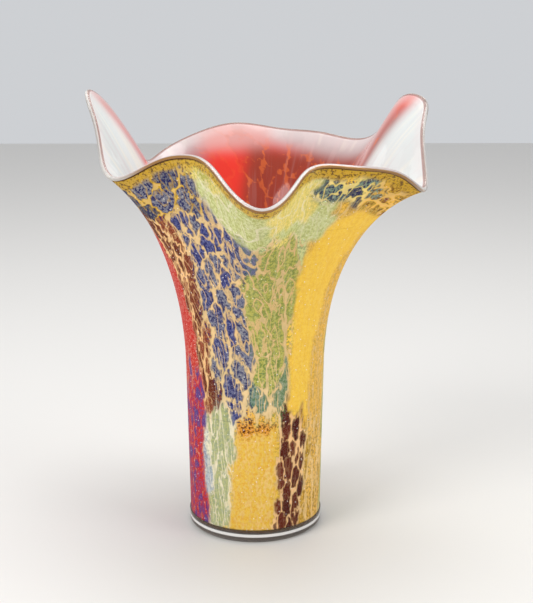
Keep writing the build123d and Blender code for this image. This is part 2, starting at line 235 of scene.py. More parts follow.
# Outlines of the colours as (azimuth, share of the way up); a later one covers an earlier one
PLAN = [
    ("gold", [(-50, 0), (-50, 1.1), (-8, 1.1), (-12, 0.5), (-15, 0)]),
    ("red", [(-200, 1.1), (-192, 0.5), (-188, 0), (-120, 0), (-130, 0.45), (-160, 1.1)]),
    (
        "red_low",
        [
            (-190, 0.33), (-188, 0), (-120, 0), (-125, 0.4), (-142, 0.42), (-150, 0.36), (-158, 0.44),
            (-166, 0.35), (-174, 0.4), (-182, 0.31),
        ],
    ),
    (
        "brown",
        [
            (-194, 1.1), (-184, 0.9), (-170, 0.8), (-159, 0.7), (-151, 0.6), (-144, 0.5), (-139, 0.4),
            (-135, 0.3), (-131, 0.26), (-120, 0.27), (-110, 0.4), (-120, 0.9), (-150, 1.1),
        ],
    ),
    (
        "blue",
        [
            (-184, 1.1), (-172, 0.9), (-154, 0.86), (-143, 0.8), (-139, 0.7), (-136, 0.6), (-133, 0.5),
            (-125, 0.4), (-119, 0.33), (-90, 0.3), (-80, 1.1),
        ],
    ),
    ("blue_top", [(-184, 1.1), (-172, 0.88), (-154, 0.855), (-120, 0.86), (-110, 1.1)]),
    ("blue_low", [(-131, 0.47), (-125, 0.4), (-119, 0.28), (-88, 0.28), (-88, 0.47)]),
    (
        "green",
        [
            (-97, 0.88), (-98, 0.7), (-97, 0.6), (-93, 0.5), (-91, 0.4), (-92, 0.28), (-58, 0.28),
            (-60, 0.8), (-46, 0.87), (-46, 0.93), (-62, 0.95),
        ],
    ),
    ("green_low", [(-91, 0.28), (-90, 0.45), (-78, 0.49), (-63, 0.44), (-60, 0.28)]),
    ("green_top", [(-125, 1.1), (-122, 0.92), (-114, 0.85), (-98, 0.83), (-86, 0.84), (-84, 1.1)]),
    ("olive", [(-124, 1.1), (-121, 0.955), (-112, 0.935), (-104, 0.955), (-100, 1.1)]),
    ("gold", [(-70, 1.1), (-62, 0.95), (-50, 0.87), (-44, 0.86), (-12, 0.86), (-12, 1.1)]),
    (
        "arch",
        [
            (-90, 1.1), (-90, 0.95), (-84, 0.88), (-72, 0.835), (-60, 0.79), (-52, 0.79), (-46, 0.85),
            (-50, 0.89), (-58, 0.9), (-60, 0.94), (-64, 1.1),
        ],
    ),
    (
        "straw",
        [
            (-88, 0.985), (-86, 0.93), (-84, 0.89), (-72, 0.865), (-61, 0.85), (-57, 0.9), (-61, 0.95),
            (-66, 0.985),
        ],
    ),
    ("fleck", [(-60, 0.975), (-63, 0.92), (-58, 0.895), (-50, 0.9), (-40, 0.885), (-36, 0.975)]),
    (
        "yellow",
        [
            (-62, 0.28), (-60, 0.72), (-51, 0.815), (-41, 0.86), (-26, 0.875), (-20, 0.86), (-27, 0.75),
            (-40, 0.45), (-44, 0.28),
        ],
    ),
    ("corner", [(-38, 0.965), (-40, 0.885), (-30, 0.87), (-14, 0.86), (-9, 0.985), (-26, 0.975)]),
    ("tip", [(-31, 0.965), (-29, 0.885), (-14, 0.84), (-6, 0.985)]),
    ("mint", [(-134, 0), (-134, 0.2), (-130, 0.3), (-122, 0.345), (-106, 0.32), (-104, 0.27), (-112, 0)]),
    ("frost", [(-138, 0.1), (-137, 0.31), (-132, 0.31), (-133, 0.1)]),
    ("panel", [(-112, 0), (-110, 0.15), (-104, 0.28), (-98, 0.3), (-72, 0.29), (-73, 0.1), (-76, 0)]),
    ("fringe", [(-103, 0.262), (-104, 0.295), (-90, 0.305), (-73, 0.295), (-73, 0.272), (-88, 0.275)]),
    (
        "burgundy",
        [(-77, 0), (-74, 0.1), (-72, 0.28), (-62, 0.32), (-50, 0.33), (-46, 0.26), (-46, 0.1), (-42, 0)],
    ),
    ("gold_low", [(-49, 0), (-47, 0.1), (-46, 0.29), (-20, 0.29), (-15, 0)]),
    ("leaf", [(-15, 0), (-12, 0.5), (-8, 1.1), (44, 1.1), (36, 0.5), (32, 0)]),
    ("ochre", [(32, 0), (38, 0.2), (33, 0.5), (44, 0.8), (40, 1.1), (96, 1.1), (92, 0.5), (96, 0)]),
    (
        "sky",
        [
            (84, 0), (90, 0.2), (80, 0.45), (86, 0.65), (82, 0.8), (91, 0.95), (88, 1.1), (134, 1.1),
            (138, 0.5), (134, 0),
        ],
    ),
    ("plum", [(-230, 0), (-230, 1.1), (-200, 1.1), (-192, 0.5), (-188, 0)]),
]

# The ruby lining: outlines of its colours as (azimuth, share); a later one covers an earlier one. The pale
# colour at the ears is partly the thin glass and partly a painted reflection.
LINING_COLOURS = {
    "ruby": (0.7, 0.035, 0.02),
    "ember": (0.3, 0.04, 0.02),
    "rose": (0.66, 0.34, 0.31),
    "mauve": (0.55, 0.46, 0.45),
    "dusk": (0.42, 0.18, 0.18),
    # Pale at the ears: thin glass, with a painted reflection in its colour
    "thin_glass_and_sheen": (0.7, 0.75, 0.73),
}
LINING_PLAN = [
    ("ruby", [(-230, -0.1), (-230, 1.1), (230, 1.1), (230, -0.1)]),
    ("ember", [(10, 0), (12, 0.96), (60, 0.94), (92, 0.93), (97, 0.8), (100, 0)]),
    ("mauve", [(30, 0.94), (60, 0.94), (88, 0.955), (88, 1.1), (30, 1.1)]),
    ("rose", [(84, 0.94), (98, 0.92), (116, 0.94), (116, 1.1), (84, 1.1)]),
    ("dusk", [(112, 0.88), (128, 0.83), (148, 0.8), (148, 1.1), (108, 1.1)]),
    ("mauve", [(110, 0.965), (124, 0.935), (146, 0.92), (146, 1.1), (110, 1.1)]),
    ("rose", [(146, 0.9), (158, 0.84), (166, 1.1), (146, 1.1)]),
    # The ears' pale colour, partly a painted reflection
    ("thin_glass_and_sheen", [(160, 0.79), (205, 0.75), (205, 1.1), (166, 1.1)]),
    ("rose", [(20, 0.74), (34, 0.78), (38, 1.1), (14, 1.1)]),
    ("thin_glass_and_sheen", [(-32, 0.7), (15, 0.7), (11, 0.97), (11, 1.1), (-32, 1.1)]),
]

GRID_A, GRID_S = 1080, 420  # samples of the plan round the vase and up it
JITTER = 0.46  # how far a cell's seed may stray from its place, in cells
CORNERS = 11  # how tightly the net's corners are rounded, per cell width
SHARE_TO_DEGREES = 130  # near enough the same length up the wall as round it
UP_THE_WALL = 400  # millimetres for a whole share
NEIGHBOURS = 10
SEAM_MARGIN = 30  # degrees of seeds repeated past each side of the seam


def inside(outline, x, y):
    """Which points lie inside a closed outline."""
    held = np.zeros(x.shape, bool)
    for (xa, ya), (xb, yb) in zip(outline, outline[1:] + outline[:1]):
        if ya != yb:
            held ^= ((ya > y) != (yb > y)) & (x < (xb - xa) * (y - ya) / (yb - ya) + xa)
    return held


WAVES = 14
WAVE_STRETCH = 200  # degrees that a whole share counts for in a wave's direction


def wobble(x, y, size, seed):
    """A smooth random wave field, about -1 to 1, over azimuths x and shares y; size in degrees."""
    waves = np.random.default_rng(seed)
    total = np.zeros(np.broadcast(x, y).shape)
    for _ in range(WAVES):
        direction, pace = waves.uniform(0, 2 * math.pi), waves.uniform(0.5, 2.2)
        phase = waves.uniform(0, 2 * math.pi)
        across = x * math.cos(direction) + y * WAVE_STRETCH * math.sin(direction)
        total += np.sin(across * pace * 2 * math.pi / size + phase) / math.sqrt(WAVES) / 0.7
    return total


def plan_at(x, y):
    """Index in PLAN of the colour at each (azimuth, share)."""
    x = x + 1.1 * wobble(x, y, 22, 3) + 0.6 * wobble(x, y, 8, 4)
    y = y + 0.006 * wobble(x, y, 22, 5) + 0.004 * wobble(x, y, 8, 6)
    found = np.zeros(x.shape, int)
    for i, (name, outline) in enumerate(PLAN):
        found[inside(outline, x, y)] = i
    return found


def softened(field, around, up):
    """A grid field blurred by this many samples each way, closed round the vase."""
    for axis, reach in ((0, around), (1, up)):
        weights = np.exp(-0.5 * (np.arange(-3 * reach, 3 * reach + 1) / reach) ** 2)
        weights /= weights.sum()
        pad = [(0, 0)] * field.ndim
        pad[axis] = (3 * reach, 3 * reach)
        wide = np.pad(field, pad, mode="wrap" if axis == 0 else "edge")
        total = 0
        for i, weight in enumerate(weights):
            cut = [slice(None)] * field.ndim
            cut[axis] = slice(i, i + field.shape[axis])
            total = total + weight * wide[tuple(cut)]
        field = total
    return field


look_rows = [LOOKS[name] for name, outline in PLAN]
traits = np.array([row[4:] for row in look_rows], float)  # the numbers of LOOKS, from netness on
grid_azimuth = SEAM_AZIMUTH + 360 * np.arange(GRID_A) / GRID_A
mesh_a, mesh_s = np.meshgrid(grid_azimuth, np.linspace(0, 1, GRID_S), indexing="ij")
plan = plan_at(mesh_a, mesh_s)


def look_colours(column):
    """The colours in one column of LOOKS, in the order of PLAN."""
    return np.array([COLOURS[row[column]] for row in look_rows])


def sow():
    """Seeds of the net's cells, spaced to suit the colour each falls in, and that colour's index."""
    seeds, seed_plan = [], []
    for i, row in enumerate(look_rows):
        width, height, tilt = row[6], row[7], row[8]
        for j, share in enumerate(np.arange(-0.02, 1.04, height)):
            along = np.arange(SEAM_AZIMUTH, SEAM_AZIMUTH + 360, width) + (j % 2) * width / 2 + tilt * share
            along = SEAM_AZIMUTH + (along - SEAM_AZIMUTH) % 360
            spot = np.stack([along, np.full(len(along), share)], -1)
            spot += random.uniform(-JITTER, JITTER, spot.shape) * (width, height)
            mine = plan_at(spot[:, 0], np.clip(spot[:, 1], 0, 1)) == i
            seeds.extend(spot[mine])
            seed_plan.extend([i] * int(mine.sum()))
    return np.array(seeds), np.array(seed_plan)


def closest_seeds(points, seeds):
    """Indices of the few seeds nearest each (azimuth, share), whatever the shape of their cells."""
    tree = kdtree.KDTree(len(seeds))
    for i, (azimuth, share) in enumerate(seeds):
        tree.insert((azimuth, share * SHARE_TO_DEGREES, 0), i)
    tree.balance()
    return np.array(
        [
            [found[1] for found in tree.find_n((azimuth, share * SHARE_TO_DEGREES, 0), NEIGHBOURS)]
            for azimuth, share in points
        ]
    )


def grow_net(seeds):
    """Millimetres from each grid point to the edge of its cell, and the index of that cell's seed."""
    near_end = seeds[:, 0] > SEAM_AZIMUTH + 360 - SEAM_MARGIN
    near_start = seeds[:, 0] < SEAM_AZIMUTH + SEAM_MARGIN
    whole = np.concatenate([seeds, seeds[near_end] - (360, 0), seeds[near_start] + (360, 0)])
    whole_id = np.concatenate([np.arange(len(seeds)), np.flatnonzero(near_end), np.flatnonzero(near_start)])
    warp_a = mesh_a + 0.5 * wobble(mesh_a, mesh_s, 7, 8)
    warp_s = mesh_s + 0.004 * wobble(mesh_a, mesh_s, 7, 9)
    points = np.stack([warp_a.ravel(), warp_s.ravel()], -1)
    close = closest_seeds(points, whole)

    # Offsets from the seeds, in cells, and how far off the edge towards each neighbour is
    cell_size = softened(traits[plan][..., 2:5], 6, 6).reshape(-1, 3)
    offset = points[:, None, :] - whole[close]
    offset[..., 0] -= cell_size[:, None, 2] * offset[..., 1]
    offset /= cell_size[:, None, :2]
    order = np.argsort((offset**2).sum(-1), axis=1)
    offset = np.take_along_axis(offset, order[..., None], 1)
    nearest = whole_id[np.take_along_axis(close, order, 1)[:, 0]]
    apart = offset[:, :1] - offset[:, 1:]
    span = np.maximum(np.sqrt((apart**2).sum(-1)), 1e-6)
    to_edge = ((offset[:, 1:] + offset[:, :1]) / 2 * -apart).sum(-1) / span

    # The same distances in millimetres, so that the net is as thick across as along
    one_degree = skin(mesh_a + 0.5, mesh_s) - skin(mesh_a - 0.5, mesh_s)
    cell_wide = cell_size[:, :1] * (np.linalg.norm(one_degree, axis=-1).reshape(-1, 1) * 1000)
    cell_tall = cell_size[:, 1:2] * UP_THE_WALL
    facing = np.abs(apart) / span[..., None]
    to_edge = np.abs(to_edge) / np.hypot(facing[..., 0] / cell_wide, facing[..., 1] / cell_tall)
    sharpness = CORNERS / cell_wide
    net = -np.log(np.exp(-sharpness * to_edge).sum(1)) / sharpness[:, 0]
    return net.reshape(mesh_a.shape), nearest.reshape(mesh_a.shape)


def paint_lining():
    """Colours of the ruby lining on the grid."""
    lining = np.zeros(mesh_a.shape + (3,))
    for name, outline in LINING_PLAN:
        for turn in (0, 360):
            lining[inside(outline, mesh_a + turn, mesh_s)] = LINING_COLOURS[name]
    return softened(lining, 7, 7)


def paint_grid():
    """Every field that the pieces carry to their materials, on the grid."""
    seeds, seed_plan = sow()
    seed_tone = random.uniform(0, 1, len(seeds))
    net, nearest = grow_net(seeds)
    tone, cell_of = seed_tone[nearest], seed_plan[nearest]
    cell_mix = np.clip(tone * 1.6 - 0.3, 0, 1)[..., None]
    colour_a, colour_b = look_colours(0), look_colours(1)
    cell_colour = colour_a[cell_of] * (1 - cell_mix) + colour_b[cell_of] * cell_mix
    netness = softened(traits[plan][..., 0], 3, 2)
    cellular = np.clip(netness * 2, 0, 1)[..., None]
    painted = {
        "net": net,
        "tone": tone,
        "cell": softened(cell_colour, 1, 1) * cellular + softened(colour_a[plan], 2, 2) * (1 - cellular),
        "line": softened(look_colours(2)[plan], 5, 4),
        "speck": softened(look_colours(3)[plan], 2, 2),
        "netness": netness,
        "width": softened(traits[plan][..., 1], 4, 3),
        "lining": paint_lining(),
    }
    for k, name in enumerate(("speckle", "streak", "milk", "thread")):
        painted[name] = softened(traits[plan][..., 5 + k], 4, 4)
    return painted


grid = paint_grid()


def read_grid(name, azimuth, share):
    """A plan field at any azimuths and shares, blended between samples."""
    field = grid[name]
    x = ((azimuth - SEAM_AZIMUTH) % 360) / 360 * GRID_A
    y = np.clip(share, 0, 1) * (GRID_S - 1)
    i, j = np.floor(x).astype(int) % GRID_A, np.minimum(np.floor(y).astype(int), GRID_S - 2)
    u, v = x - np.floor(x), y - j
    if field.ndim == 3:
        u, v = u[..., None], v[..., None]
    k = (i + 1) % GRID_A
    lower = field[i, j] * (1 - u) + field[k, j] * u
    upper = field[i, j + 1] * (1 - u) + field[k, j + 1] * u
    return lower * (1 - v) + upper * v


# ---------------------------------------------------------------- meshes
def drift(azimuth):
    """How far the drawn-out threads wind round the vase, in degrees from table to rim: only at its left."""
    turn = (azimuth - SEAM_AZIMUTH) % 360 + SEAM_AZIMUTH
    return 55 * np.clip((turn + 205) / 35, 0, 1) * np.clip((-75 - turn) / 60, 0, 1)


# What a mesh stores for each point, by how many numbers it has
STORED = {1: ("FLOAT", "value"), 3: ("FLOAT_VECTOR", "vector"), 4: ("FLOAT_COLOR", "color")}


def carry(mesh, key, values):
    """Store a number, vector or colour for each point, for the material to read."""
    kind, member = STORED[values.size // len(mesh.vertices)]
    mesh.attributes.new(key, kind, "POINT").data.foreach_set(member, values.astype(np.float32).ravel())


def piece(name, points, faces):
    """A smooth mesh piece."""
    mesh = bpy.data.meshes.new(name)
    mesh.from_pydata(points.tolist(), [], faces.tolist())
    mesh.polygons.foreach_set("use_smooth", np.ones(len(mesh.polygons), bool))
    mesh.validate()
    mesh.update()
    obj = bpy.data.objects.new(name, mesh)
    bpy.context.scene.collection.objects.link(obj)
    return obj


def carry_plan(mesh, azimuth, share):
    """Store the plan at each point of the wall, its distance from the rim, and the flow of the glass."""
    for key in ("net", "netness", "width", "speckle", "streak", "milk", "thread", "tone"):
        carry(mesh, key, read_grid(key, azimuth, share))
    for key in ("cell", "line", "speck", "lining"):
        carry(mesh, key, np.concatenate([read_grid(key, azimuth, share), np.ones((len(azimuth), 1))], 1))
    rim = skin(azimuth, np.ones(len(azimuth)))
    carry(mesh, "below_rim", np.linalg.norm(rim - skin(azimuth, share), axis=-1) * 1000)
    flow = [(azimuth + drift(azimuth) * (share - 0.5)) / 30, share, np.zeros(len(share))]
    carry(mesh, "flow", np.stack(flow, -1))


def slab(name, azimuth, share, outer, inner, closed):
    """A closed curved slab from two grids of points; closed joins its two sides round the vase."""
    rows, columns = outer.shape[:2]
    points = np.concatenate([outer.reshape(-1, 3), inner.reshape(-1, 3)])
    index = np.arange(rows * columns).reshape(rows, columns)
    if closed:
        index = np.concatenate([index, index[:, :1]], 1)
    back = index + rows * columns
    faces = [
        np.stack([index[:-1, :-1], index[:-1, 1:], index[1:, 1:], index[1:, :-1]], -1).reshape(-1, 4),
        np.stack([back[:-1, :-1], back[1:, :-1], back[1:, 1:], back[:-1, 1:]], -1).reshape(-1, 4),
        np.stack([index[0, 1:], index[0, :-1], back[0, :-1], back[0, 1:]], -1),
        np.stack([index[-1, :-1], index[-1, 1:], back[-1, 1:], back[-1, :-1]], -1),
    ]
    if not closed:
        faces.append(np.stack([index[:-1, 0], index[1:, 0], back[1:, 0], back[:-1, 0]], -1))
        faces.append(np.stack([index[1:, -1], index[:-1, -1], back[:-1, -1], back[1:, -1]], -1))
    obj = piece(name, points, np.concatenate(faces))
    carry_plan(obj.data, np.concatenate([azimuth.ravel()] * 2), np.concatenate([share.ravel()] * 2))
    return obj


def place(obj, node, material):
    """Put a piece on the frame in place of a CAD node."""
    obj.data.materials.append(material)
    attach(obj, "root")
    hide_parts(node)


# Field borders, walked upwards: (height in millimetres, azimuth), as in the CAD model
PANEL_TOP, LOBE_BOTTOM, ABOVE_RIM = 105, 264, 1000 * OVERALL_HEIGHT + 39
PLUM_RED = [(0, 172), (180, 168), (ABOVE_RIM, 160)]
RED_BROWN = [
    (0, 224), (96, 224), (140, 217), (172, 210), (202, 202), (232, 196), (262, 186), (ABOVE_RIM, 172),
]
BROWN_BLUE = [(PANEL_TOP, 236), (140, 233), (172, 226), (232, 219), (262, 214), (284, 200), (ABOVE_RIM, 184)]
BLUE_GREEN = [(PANEL_TOP, 268), (172, 267), (202, 263), (262, 261), (284, 247), (ABOVE_RIM, 232)]
GREEN_STRAW = [(LOBE_BOTTOM, 272), (ABOVE_RIM, 264)]
GREEN_YELLOW = [(PANEL_TOP, 299), (232, 300), (LOBE_BOTTOM, 308)]
YELLOW_GOLD = [(PANEL_TOP, 316), (172, 318), (232, 322), (LOBE_BOTTOM, 326), (ABOVE_RIM, 310)]
MINT_PANEL = [(0, 249), (PANEL_TOP, 254)]
PANEL_BURGUNDY = [(0, 287), (PANEL_TOP, 291)]
BURGUNDY_GOLD = [(0, 313), (PANEL_TOP, 314)]
GOLD_LEAF = [(0, 345), (172, 348), (ABOVE_RIM, 352)]
LEAF_OCHRE = [(0, 392), (172, 396), (ABOVE_RIM, 404)]
OCHRE_SKY = [(0, 446), (172, 442), (ABOVE_RIM, 450)]
SKY_PLUM = [(0, 492), (172, 496), (ABOVE_RIM, 488)]
# Node, slot, left and right borders, and the heights in millimetres between which the field lies
FIELDS = [
    ("field_red", "red_glass", PLUM_RED, RED_BROWN, 0, ABOVE_RIM),
    ("field_brown", "brown_glass", RED_BROWN, BROWN_BLUE, PANEL_TOP, ABOVE_RIM),
    ("field_blue", "blue_glass", BROWN_BLUE, BLUE_GREEN, PANEL_TOP, ABOVE_RIM),
    ("field_green", "green_glass", BLUE_GREEN, GREEN_YELLOW, PANEL_TOP, LOBE_BOTTOM),
    ("field_green_lobe", "green_glass", BLUE_GREEN, GREEN_STRAW, LOBE_BOTTOM, ABOVE_RIM),
    ("field_straw", "straw_glass", GREEN_STRAW, YELLOW_GOLD, LOBE_BOTTOM, ABOVE_RIM),
    ("field_yellow", "yellow_glass", GREEN_YELLOW, YELLOW_GOLD, PANEL_TOP, LOBE_BOTTOM),
    ("field_mint", "mint_glass", RED_BROWN, MINT_PANEL, 0, PANEL_TOP),
    ("field_panel", "yellow_glass", MINT_PANEL, PANEL_BURGUNDY, 0, PANEL_TOP),
    ("field_burgundy", "burgundy_glass", PANEL_BURGUNDY, BURGUNDY_GOLD, 0, PANEL_TOP),
    ("field_gold_low", "gold_glass", BURGUNDY_GOLD, GOLD_LEAF, 0, PANEL_TOP),
    ("field_gold", "gold_glass", YELLOW_GOLD, GOLD_LEAF, PANEL_TOP, ABOVE_RIM),
    ("field_leaf", "leaf_glass", GOLD_LEAF, LEAF_OCHRE, 0, ABOVE_RIM),
    ("field_ochre", "ochre_glass", LEAF_OCHRE, OCHRE_SKY, 0, ABOVE_RIM),
    ("field_sky", "sky_glass", OCHRE_SKY, SKY_PLUM, 0, ABOVE_RIM),
    ("field_plum", "plum_glass", SKY_PLUM, [(h, a + 360) for h, a in PLUM_RED], 0, ABOVE_RIM),
]

# Heights of the skin at whole azimuths, to read shares back from
height_shares = np.linspace(0, 1, 400)
height_table = skin(np.arange(360)[:, None], height_shares[None, :])[..., 2] * 1000


def share_at(azimuth, height):
    """Share of the way up at which each azimuth reaches a height in millimetres."""
    found = np.empty(len(azimuth))
    for i, turn in enumerate(azimuth):
        low, part = int(turn) % 360, turn % 1
        column = height_table[low] * (1 - part) + height_table[(low + 1) % 360] * part
        found[i] = np.interp(height, column, height_shares)
    return found


def border(line, height):
    """Azimuth of a field border at heights in millimetres."""
    return np.interp(height, [row[0] for row in line], [row[1] for row in line])


def between(left, right, height, across):
    """Azimuths spread evenly from one border to the other at heights in millimetres."""
    return border(left, height) * (1 - across) + border(right, height) * across


RIM_GUESS = 320  # millimetres, where a search for the rim starts
COLUMN_WIDTH = 0.5  # degrees
ROWS_UP_THE_WALL = 340


def field_grid(left, right, low, high):
    """Azimuths and shares of a grid that fills one colour field."""
    widest = max(border(right, h) - border(left, h) for h in (low, (low + high) / 2, high))
    across = np.linspace(0, 1, int(widest / COLUMN_WIDTH) + 1)
    bottom = np.maximum(share_at(between(left, right, low, across), low), LOWEST)
    azimuth = between(left, right, min(high, RIM_GUESS), across)
    top = share_at(azimuth, high)
    upwards = np.linspace(0, 1, int((top.max() - bottom.min()) * ROWS_UP_THE_WALL) + 2)[:, None]
    share = bottom + (top - bottom) * upwards
    azimuth = np.broadcast_to(azimuth, share.shape)
    for _ in range(4):
        azimuth = between(left, right, skin(azimuth, share)[..., 2] * 1000, across)
        if high < ABOVE_RIM:
            top = share_at(azimuth[-1], high)
        if low > 0:
            bottom = share_at(azimuth[0], low)
        share = bottom + (top - bottom) * upwards
    return azimuth, share


# ---------------------------------------------------------------- shader helpers
class Nodes:
    """Short names for building one material's node tree."""

    def __init__(self, name):
        self.material = bpy.data.materials.new(name)
        self.material.use_nodes = True
        self.tree = self.material.node_tree
        self.tree.nodes.clear()
        self.out = self.tree.nodes.new("ShaderNodeOutputMaterial")

    def join(self, value, socket):
        """Link a socket, or set a constant."""
        if isinstance(value, bpy.types.NodeSocket):
            self.tree.links.new(value, socket)
        else:
            if socket.type == "RGBA" and len(value) == 3:
                value = (*value, 1)
            socket.default_value = value

    def add(self, kind, **inputs):
        """A node with some inputs set by name."""
        node = self.tree.nodes.new(kind)
        for name, value in inputs.items():
            self.join(value, node.inputs[name.replace("_", " ")])
        return node

    def attribute(self, name, output="Fac"):
        """What the mesh carries under a name."""
        node = self.tree.nodes.new("ShaderNodeAttribute")
        node.attribute_name = name
        return node.outputs[output]

    def math(self, operation, a, b=0.0, clamp=False):
        """One sum of one or two numbers."""
        node = self.tree.nodes.new("ShaderNodeMath")
        node.operation = operation
        node.use_clamp = clamp
        self.join(a, node.inputs[0])
        self.join(b, node.inputs[1])
        return node.outputs[0]

    def mix(self, share, a, b):
        """Blend two colours, through the Mix node's colour sockets."""
        node = self.tree.nodes.new("ShaderNodeMix")
        node.data_type = "RGBA"
        self.join(share, node.inputs[0])
        self.join(a, node.inputs[6])
        self.join(b, node.inputs[7])
        return node.outputs[2]

    def scale(self, colour, amount):
        """Multiply a colour by a number."""
        node = self.tree.nodes.new("ShaderNodeVectorMath")
        node.operation = "SCALE"
        self.join(colour, node.inputs[0])
        self.join(amount, node.inputs["Scale"])
        return node.outputs[0]

    def step(self, value, low, high, to_low=0.0, to_high=1.0):
        """Smooth step from to_low to to_high while value goes from low to high."""
        node = self.tree.nodes.new("ShaderNodeMapRange")
        node.interpolation_type = "SMOOTHSTEP"
        for socket, part in zip(node.inputs, (value, low, high, to_low, to_high)):
            self.join(part, socket)
        return node.outputs[0]

    def stretch(self, vector, x, y, z=1.0):
        """A vector scaled along each axis."""
        node = self.tree.nodes.new("ShaderNodeVectorMath")
        node.operation = "MULTIPLY"
        self.join(vector, node.inputs[0])
        self.join((x, y, z), node.inputs[1])
        return node.outputs[0]

    def noise(self, vector, scale, detail=2.0, roughness=0.5):
        """Smooth random number, mostly between 0.3 and 0.7."""
        node = self.add("ShaderNodeTexNoise", Scale=scale, Detail=detail, Roughness=roughness)
        self.join(vector, node.inputs["Vector"])
        return node.outputs[0]

    def ragged(self, vector, scale, detail, reach, roughness=0.5):
        """Noise about zero, for fraying a distance."""
        about_zero = self.math("SUBTRACT", self.noise(vector, scale, detail, roughness), 0.5)
        return self.math("MULTIPLY", about_zero, reach)

    def spots(self, vector, scale):
        """Distance to the nearest of scattered points, in cells."""
        node = self.add("ShaderNodeTexVoronoi", Scale=scale)
        self.join(vector, node.inputs["Vector"])
        return node.outputs["Distance"]

    def finish(self, shader):
        """Link the shader to the output and hand over the material."""
        self.tree.links.new(shader, self.out.inputs["Surface"])
        return self.material


def in_cells(n, grain, edge, width):
    """Colour of the cells: dense dark specks, a few pale grains, and thinner colour beside the net."""
    speckle = n.attribute("speckle")
    cell, speck = n.attribute("cell", "Color"), n.attribute("speck", "Color")
    specks = n.math("MULTIPLY", n.step(grain, 0.51, 0.45), speckle, clamp=True)
    colour = n.mix(n.math("MULTIPLY", specks, 0.95), cell, speck)
    pale = n.math("MULTIPLY", n.step(grain, 0.58, 0.68), speckle)
    colour = n.mix(n.math("MULTIPLY", pale, 0.4), colour, (0.7, 0.66, 0.52))
    beside = n.step(edge, width, n.math("MULTIPLY", width, 2.6), 0.45, 0.0)
    beside = n.math("MULTIPLY", beside, n.attribute("netness"))
    return n.mix(beside, colour, n.scale(n.attribute("line", "Color"), 0.65))


def drawn_out(n, colour, here):
    """Streaks drawn up the wall, milky veils, and long fine threads."""
    on_wall = n.attribute("flow", "Vector")
    net_colour, streak = n.attribute("line", "Color"), n.attribute("streak")
    streaks = n.noise(n.stretch(on_wall, 22, 3.2), 3.0, 5, 0.6)
    lighter = n.math("MULTIPLY", n.step(streaks, 0.52, 0.68), streak)
    colour = n.mix(n.math("MULTIPLY", lighter, 0.6), colour, net_colour)
    darker = n.math("MULTIPLY", n.step(streaks, 0.46, 0.34), streak)
    colour = n.mix(n.math("MULTIPLY", darker, 0.5), colour, n.attribute("speck", "Color"))
    clouds = n.noise(n.stretch(on_wall, 6, 5), 2.5, 4)
    veil = n.math("MULTIPLY", n.step(clouds, 0.42, 0.7), n.attribute("milk"))
    colour = n.mix(n.math("MULTIPLY", veil, 0.55), colour, (0.84, 0.8, 0.6))

    # The threads are contour lines of a stretched noise
    contour = n.math("FRACT", n.math("MULTIPLY", n.noise(n.stretch(on_wall, 3.2, 7.0), 1.0, 2, 0.4), 7.0))
    off_line = n.math("ABSOLUTE", n.math("SUBTRACT", contour, 0.5))
    thread = n.math("MULTIPLY", n.step(off_line, 0.14, 0.05), n.attribute("thread"), clamp=True)
    thread = n.math("MULTIPLY", thread, n.step(n.noise(here, 700, 2), 0.36, 0.48, 0.5, 0.95))
    return n.mix(thread, colour, net_colour)


def netted(n, colour, slow, edge, width):
    """The net, here thin and dull, there thick and bright, and palest in the middle of a line."""
    line = n.step(edge, n.math("MULTIPLY", width, 0.55), n.math("MULTIPLY", width, 1.15), 1.0, 0.0)
    line = n.math("MULTIPLY", line, n.attribute("netness"), clamp=True)
    middle = n.step(edge, n.math("MULTIPLY", width, 0.4), 0.0, 0.0, 0.3)
    shown = n.scale(n.attribute("line", "Color"), n.step(slow, 0.35, 0.65, 0.85, 1.12))
    return n.mix(line, colour, n.mix(middle, shown, (0.88, 0.68, 0.38)))


def under_the_lip(n, colour, here, grain):
    """Seed bubbles, the frayed mustard band under the lip, and its dark edge."""
    bubbles = n.step(n.spots(here, 210), 0.13, 0.07)
    colour = n.mix(n.math("MULTIPLY", bubbles, 0.8), colour, (0.9, 0.87, 0.8))
    below = n.attribute("below_rim")
    frayed = n.math("ADD", below, n.ragged(here, 80, 4, 14.0))
    mustard = n.mix(n.step(grain, 0.48, 0.4), (0.6, 0.36, 0.03), (0.16, 0.08, 0.02))
    colour = n.mix(n.step(frayed, 6.0, 12.0, 0.9, 0.0), colour, mustard)
    return n.mix(n.step(below, 0.9, 1.7, 0.95, 0.0), colour, (0.06, 0.02, 0.008))


def colour_glass(name):
    """Opaque colour under clear glass, without a gloss of its own."""
    n = Nodes(name)
    here = n.add("ShaderNodeTexCoord").outputs["Object"]
    slow, grain = n.noise(here, 55, 3), n.noise(here, 480, 3, 0.6)
    edge = n.math("ADD", n.attribute("net"), n.ragged(here, 380, 3, 0.8, 0.55))
    width = n.math("MULTIPLY", n.attribute("width"), n.step(slow, 0.36, 0.66, 0.6, 1.7))
    colour = in_cells(n, grain, edge, width)
    colour = drawn_out(n, colour, here)
    colour = netted(n, colour, slow, edge, width)
    colour = under_the_lip(n, colour, here, grain)
    shader = n.add("ShaderNodeBsdfPrincipled", Base_Color=colour, Roughness=0.4)
    n.join(0.0, shader.inputs["Specular IOR Level"])
    return n.finish(shader.outputs[0])


